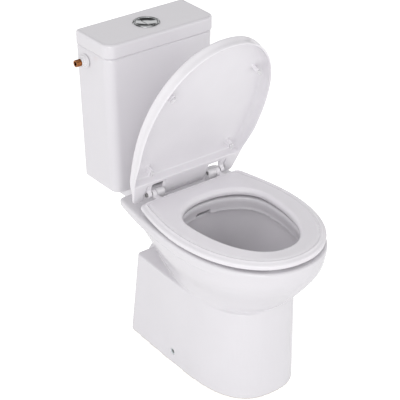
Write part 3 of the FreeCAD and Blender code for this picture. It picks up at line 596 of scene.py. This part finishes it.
def close_tree(tree, given, out, geometry):
    """End a tree with Realize Instances and Set Material."""
    real = tree.nodes.new("GeometryNodeRealizeInstances")
    paint = tree.nodes.new("GeometryNodeSetMaterial")
    tree.links.new(geometry, real.inputs["Geometry"])
    tree.links.new(real.outputs["Geometry"], paint.inputs["Geometry"])
    tree.links.new(given.outputs["Material"], paint.inputs["Material"])
    tree.links.new(paint.outputs["Geometry"], out.inputs["Geometry"])


def make_thread_tree():
    """Ridged rings strung along Z: the crests of a thread over its core."""
    tree, given, out = new_tree("ThreadCrests", [
        ("Radius", "NodeSocketFloat", 0.008), ("Pitch", "NodeSocketFloat", 0.0013),
        ("Depth", "NodeSocketFloat", 0.0008), ("Count", "NodeSocketInt", 12),
        ("Material", "NodeSocketMaterial", None)])
    ring = tree.nodes.new("GeometryNodeCurvePrimitiveCircle")
    ring.inputs["Resolution"].default_value = RING_POINTS
    tree.links.new(given.outputs["Radius"], ring.inputs["Radius"])
    crest = tree.nodes.new("GeometryNodeCurvePrimitiveCircle")
    crest.inputs["Resolution"].default_value = CREST_POINTS
    tree.links.new(given.outputs["Depth"], crest.inputs["Radius"])
    sweep = tree.nodes.new("GeometryNodeCurveToMesh")
    tree.links.new(ring.outputs["Curve"], sweep.inputs["Curve"])
    tree.links.new(crest.outputs["Curve"], sweep.inputs["Profile Curve"])
    row = tree.nodes.new("GeometryNodeMeshLine")
    tree.links.new(given.outputs["Count"], row.inputs["Count"])
    step = tree.nodes.new("ShaderNodeCombineXYZ")
    tree.links.new(given.outputs["Pitch"], step.inputs["Z"])
    tree.links.new(step.outputs["Vector"], row.inputs["Offset"])
    strung = tree.nodes.new("GeometryNodeInstanceOnPoints")
    tree.links.new(row.outputs["Mesh"], strung.inputs["Points"])
    tree.links.new(sweep.outputs["Mesh"], strung.inputs["Instance"])
    close_tree(tree, given, out, strung.outputs["Instances"])


def make_coil_tree():
    """A round wire wound into a coil spring along Z."""
    tree, given, out = new_tree("CoilSpring", [
        ("Radius", "NodeSocketFloat", 0.0036), ("Height", "NodeSocketFloat", 0.02),
        ("Turns", "NodeSocketFloat", 7.0), ("Wire", "NodeSocketFloat", 0.0006),
        ("Material", "NodeSocketMaterial", None)])
    coil = tree.nodes.new("GeometryNodeCurveSpiral")
    coil.inputs["Resolution"].default_value = COIL_POINTS
    for socket in ("Start Radius", "End Radius"):
        tree.links.new(given.outputs["Radius"], coil.inputs[socket])
    tree.links.new(given.outputs["Height"], coil.inputs["Height"])
    tree.links.new(given.outputs["Turns"], coil.inputs["Rotations"])
    wire = tree.nodes.new("GeometryNodeCurvePrimitiveCircle")
    wire.inputs["Resolution"].default_value = WIRE_POINTS
    tree.links.new(given.outputs["Wire"], wire.inputs["Radius"])
    sweep = tree.nodes.new("GeometryNodeCurveToMesh")
    sweep.inputs["Fill Caps"].default_value = True
    tree.links.new(coil.outputs["Curve"], sweep.inputs["Curve"])
    tree.links.new(wire.outputs["Curve"], sweep.inputs["Profile Curve"])
    close_tree(tree, given, out, sweep.outputs["Mesh"])


def grown(name, tree_name, values, place):
    """Run a geometry tree with these inputs, make the result a plain mesh and put it in place."""
    tree = bpy.data.node_groups[tree_name]
    thing = link(name, bpy.data.meshes.new(name))
    run = thing.modifiers.new(tree_name, "NODES")
    run.node_group = tree
    for item in tree.interface.items_tree:
        if item.item_type == "SOCKET" and item.in_out == "INPUT":
            run[item.identifier] = values[item.name]
    settle(thing)
    thing.data.transform(place)
    smooth_shade(thing, WIRE_ANGLE)
    return thing


def thread_rings(name, node, radius, pitch, count, place):
    """The crests of a thread on a CAD shank, riding with it."""
    depth = sizes().thread_depth
    crests = grown(name, "ThreadCrests", {
        "Radius": radius, "Pitch": pitch, "Depth": depth, "Count": count,
        "Material": finish_of(node)}, place)
    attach(crests, BODY_OF[node])


def along(axis, start):
    """The move that stands a Z-built piece along another axis from a start point."""
    turn = Vector((0, 0, 1)).rotation_difference(Vector(axis)).to_matrix().to_4x4()
    return Matrix.Translation(Vector(start)) @ turn


# ---------------------------------------------------------------- operators

class TOILET_OT_pan(bpy.types.Operator):
    """The ceramic pan: deck, bowl, trap and foot in one glazed casting"""
    bl_idname = "toilet.pan"
    bl_label = "Pan"

    def execute(self, context):
        rounded("pan", "china_pan", sizes().pan_grid, PAN_PASSES, calm=under_band)
        return {"FINISHED"}


class TOILET_OT_floor_fixing(bpy.types.Operator):
    """The angle brackets, side bushes and side screws that hold the foot to the floor"""
    bl_idname = "toilet.floor_fixing"
    bl_label = "Floor fixing"

    def execute(self, context):
        for node in ("floor_bracket_left", "floor_bracket_right", "side_fixing_sleeves",
                     "side_fixing_screws"):
            eased(node)
        return {"FINISHED"}


class TOILET_OT_cistern(bpy.types.Operator):
    """The tapered ceramic tank and its lift-off cover"""
    bl_idname = "toilet.cistern"
    bl_label = "Cistern"

    def execute(self, context):
        rounded("cistern_tank", "china_tank", sizes().tank_grid, CISTERN_PASSES)
        rounded("cistern_lid", "china_cover", sizes().cover_grid, CISTERN_PASSES)
        return {"FINISHED"}


class TOILET_OT_tank_fixing(bpy.types.Operator):
    """Gasket, threaded bolts, seals, washers and wing nuts under the tank"""
    bl_idname = "toilet.tank_fixing"
    bl_label = "Tank fixing"

    def execute(self, context):
        for node in ("cistern_gasket", "tank_bolts", "tank_bolt_seals", "tank_bolt_washers",
                     "tank_wing_nuts"):
            eased(node)
        low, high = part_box("tank_bolts")
        wing_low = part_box("tank_wing_nuts")[0].z
        pitch = sizes().bolt_pitch
        count = int((wing_low - low.z) / pitch) - 1
        spacing = (high.x - low.x) / 2 - BOLT_HEAD_RADIUS
        for name, side in (("left", -1), ("right", 1)):
            thread_rings("bolt_thread_" + name, "tank_bolts", BOLT_RADIUS, pitch, count,
                         Matrix.Translation(Vector((
                             (low.x + high.x) / 2 + side * spacing,
                             (low.y + high.y) / 2, low.z + pitch))))
        return {"FINISHED"}


class TOILET_OT_flush_valve(bpy.types.Operator):
    """The flush valve's base, nut, tower, overflow tube, seal and lever"""
    bl_idname = "toilet.flush_valve"
    bl_label = "Flush valve"

    def execute(self, context):
        for node in ("flush_valve_base", "flush_valve_nut", "flush_valve_tower", "lever_pin",
                     "flush_lever", "overflow_tube", "valve_seal"):
            eased(node)
        return {"FINISHED"}


class TOILET_OT_fill_valve(bpy.types.Operator):
    """The fill valve, its threaded brass tail, nuts, float arm and float"""
    bl_idname = "toilet.fill_valve"
    bl_label = "Fill valve"

    def execute(self, context):
        for node in ("fill_valve_body", "inlet_washer", "inlet_nut", "float_arm", "float_drum",
                     "blanking_plug", "blanking_plug_nut"):
            eased(node)
        eased("inlet_shank")
        low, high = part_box("inlet_shank")
        pitch = sizes().thread_pitch
        count = int(INLET_THREAD / pitch)
        thread_rings("inlet_thread", "inlet_shank", (high.z - low.z) / 2, pitch, count,
                     along((1, 0, 0), (low.x + pitch, (low.y + high.y) / 2, (low.z + high.z) / 2)))
        return {"FINISHED"}


class TOILET_OT_buttons(bpy.types.Operator):
    """The chrome bezel and two flush buttons with their housing, rods and springs"""
    bl_idname = "toilet.buttons"
    bl_label = "Buttons"

    def execute(self, context):
        eased("button_bezel", sizes().plated_edge, FINE_SEGMENTS)
        low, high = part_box("button_bezel")
        for node in ("full_flush_button", "half_flush_button"):
            dished(node, (low + high) / 2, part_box(node)[1].y - (low.y + high.y) / 2)
        for node in ("button_housing", "housing_nut", "full_flush_rod", "half_flush_rod"):
            eased(node)
        for node in ("full_flush_spring", "half_flush_spring"):
            low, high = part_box(node)
            middle = (low + high) / 2
            wire = sizes().wire_radius
            coil = grown(node + "_coil", "CoilSpring", {
                "Radius": (high.x - low.x) / 2 - wire,
                "Height": high.z - low.z - 2 * wire,
                "Turns": float(sizes().spring_turns),
                "Wire": wire,
                "Material": finish_of(node),
            }, Matrix.Translation(Vector((middle.x, middle.y, low.z + wire))))
            stand_for(coil, node)
        return {"FINISHED"}


class TOILET_OT_seat(bpy.types.Operator):
    """The seat ring and the buffers that it rests on"""
    bl_idname = "toilet.seat"
    bl_label = "Seat"

    def execute(self, context):
        rounded("seat_ring", "seat_moulding", sizes().moulding_grid, SEAT_PASSES, calm=on_seat_top)
        eased("seat_buffers", sizes().buffer_edge, FINE_SEGMENTS)
        return {"FINISHED"}


class TOILET_OT_lid(bpy.types.Operator):
    """The lid, standing part open, with its buffers"""
    bl_idname = "toilet.lid"
    bl_label = "Lid"

    def execute(self, context):
        rounded("seat_lid", "lid_moulding", sizes().moulding_grid, LID_PASSES, lid_square())
        eased("lid_buffers", sizes().buffer_edge, FINE_SEGMENTS)
        return {"FINISHED"}


class TOILET_OT_hinges(bpy.types.Operator):
    """Hinge blocks, damped pins, screws and expanding plugs"""
    bl_idname = "toilet.hinges"
    bl_label = "Hinges"

    def execute(self, context):
        for node in ("hinge_base_left", "hinge_base_right", "hinge_pin_left", "hinge_pin_right",
                     "hinge_screws", "hinge_plugs"):
            eased(node)
        return {"FINISHED"}


class TOILET_OT_stage(bpy.types.Operator):
    """The camera, a plain pale floor and soft studio light"""
    bl_idname = "toilet.stage"
    bl_label = "Stage"

    def execute(self, context):
        make_camera()
        make_floor()
        make_light()
        return {"FINISHED"}


def make_camera():
    """The camera, looking at its target from an angle round and an angle up."""
    azimuth, elevation = math.radians(AZIMUTH), math.radians(ELEVATION)
    back = Vector((math.sin(azimuth) * math.cos(elevation),
                   -math.cos(azimuth) * math.cos(elevation), math.sin(elevation)))
    lens = bpy.data.cameras.new("StudioLens")
    lens.lens = LENS
    lens.sensor_width = SENSOR
    lens.shift_x, lens.shift_y = SHIFT
    camera = bpy.data.objects.new("StudioCamera", lens)
    camera.location = Vector(TARGET) + back * DISTANCE
    camera.rotation_mode = "QUATERNION"
    camera.rotation_quaternion = (-back).to_track_quat("-Z", "Y")
    bpy.context.scene.collection.objects.link(camera)
    bpy.context.scene.camera = camera


def make_floor():
    """A broad pale floor that glows, more to the camera than on the object, as a sweep does."""
    work = bmesh.new()
    bmesh.ops.create_grid(work, x_segments=8, y_segments=8, size=FLOOR_REACH)
    mesh = bpy.data.meshes.new("StudioFloor")
    work.to_mesh(mesh)
    work.free()
    floor = link("StudioFloor", mesh)
    material, tree, shader = new_material("PaleFloor")
    shade = tinted(tree, noise(tree, object_place(tree), 3.0, 2.0), 0.2, 0.8,
                   (0.90, 0.90, 0.90), (0.92, 0.92, 0.92))
    tree.links.new(shade, shader.inputs["Base Color"])
    shader.inputs["Roughness"].default_value = 0.9
    shader.inputs["Specular IOR Level"].default_value = 0.1
    shader.inputs["Emission Color"].default_value = (1.0, 1.0, 1.0, 1.0)
    seen = tree.nodes.new("ShaderNodeLightPath").outputs["Is Camera Ray"]
    tree.links.new(spread(tree, seen, FLOOR_GLOW, FLOOR_GLOW_SEEN), shader.inputs["Emission Strength"])
    mesh.materials.append(material)


def stepped(tree, mask, steps):
    """A grey that follows (position, tone) steps along a mask."""
    node = tree.nodes.new("ShaderNodeValToRGB")
    ramp = node.color_ramp
    while len(ramp.elements) < len(steps):
        ramp.elements.new(0.5)
    for element, (position, tone) in zip(ramp.elements, steps):
        element.position = position
        element.color = (tone, tone, tone, 1.0)
    tree.links.new(mask, node.inputs["Fac"])
    return node.outputs["Color"]


def make_lamp(name, place, size, watts):
    """A soft rectangular lamp aimed at the middle of the object."""
    lamp = bpy.data.lights.new(name, "AREA")
    lamp.shape = "RECTANGLE"
    lamp.size, lamp.size_y = size
    lamp.energy = watts
    box = bpy.data.objects.new(name, lamp)
    box.location = place
    aim = Vector(LAMP_AIM) - Vector(place)
    box.rotation_euler = aim.to_track_quat("-Z", "Y").to_euler()
    bpy.context.scene.collection.objects.link(box)


def make_light():
    """A white room, dimmer overhead, and two soft lamps in front.

    Gloss sees the room as a studio hung with cards: dark ones overhead, and a low dark one
    behind the object, so plating shows black edges and glaze gets soft streaks.
    """
    scene = bpy.context.scene
    scene.view_settings.view_transform = "Standard"
    world = bpy.data.worlds.new("WhiteRoom")
    scene.world = world
    world.use_nodes = True
    tree = world.node_tree
    backdrop = tree.nodes["Background"]
    place = tree.nodes.new("ShaderNodeTexCoord").outputs["Generated"]
    split = tree.nodes.new("ShaderNodeSeparateXYZ")
    tree.links.new(place, split.inputs[0])
    height = split.outputs["Z"]
    room = stepped(tree, height, ROOM_TONES)
    near = stepped(tree, height, NEAR_CARDS)
    far = stepped(tree, height, FAR_CARDS)
    facing = tree.nodes.new("ShaderNodeVectorMath")
    facing.operation = "DOT_PRODUCT"
    facing.inputs[1].default_value = FAR_SIDE
    tree.links.new(place, facing.inputs[0])
    behind = maths(tree, "GREATER_THAN", facing.outputs["Value"], FAR_SHARE)
    cards = mix_colour(tree, behind, near, far)
    glossy = tree.nodes.new("ShaderNodeLightPath").outputs["Is Glossy Ray"]
    tree.links.new(mix_colour(tree, glossy, room, cards), backdrop.inputs["Color"])
    backdrop.inputs["Strength"].default_value = ROOM_STRENGTH
    make_lamp("KeyBox", *KEY_LAMP)
    make_lamp("FillBox", *FILL_LAMP)


class TOILET_PT_panel(bpy.types.Panel):
    """Sizes, finishes and every piece's operator"""
    bl_idname = "TOILET_PT_panel"
    bl_label = "Close coupled toilet"
    bl_space_type = "VIEW_3D"
    bl_region_type = "UI"
    bl_category = "Toilet"

    def draw(self, context):
        layout = self.layout
        for group in (context.scene.toilet_sizes, context.scene.toilet_finishes):
            column = layout.column(align=True)
            for name in group.__annotations__:
                column.prop(group, name)
        for operator in OPERATORS:
            layout.operator(operator.bl_idname)


OPERATORS = (
    TOILET_OT_stage, TOILET_OT_pan, TOILET_OT_floor_fixing, TOILET_OT_cistern,
    TOILET_OT_tank_fixing, TOILET_OT_flush_valve, TOILET_OT_fill_valve, TOILET_OT_buttons,
    TOILET_OT_seat, TOILET_OT_lid, TOILET_OT_hinges,
)
CLASSES = (ToiletSizes, ToiletFinishes, *OPERATORS, TOILET_PT_panel)


def register():
    for cls in CLASSES:
        bpy.utils.register_class(cls)
    bpy.types.Scene.toilet_sizes = bpy.props.PointerProperty(type=ToiletSizes)
    bpy.types.Scene.toilet_finishes = bpy.props.PointerProperty(type=ToiletFinishes)


def unregister():
    del bpy.types.Scene.toilet_finishes
    del bpy.types.Scene.toilet_sizes
    for cls in reversed(CLASSES):
        bpy.utils.unregister_class(cls)


def main():
    register()
    make_orange_peel()
    make_mottle()
    make_tool_marks()
    make_thread_tree()
    make_coil_tree()
    MATERIALS.update(make_materials())
    for operator in OPERATORS:
        group, call = operator.bl_idname.split(".")
        getattr(getattr(bpy.ops, group), call)()


if __name__ == "__main__":
    main()
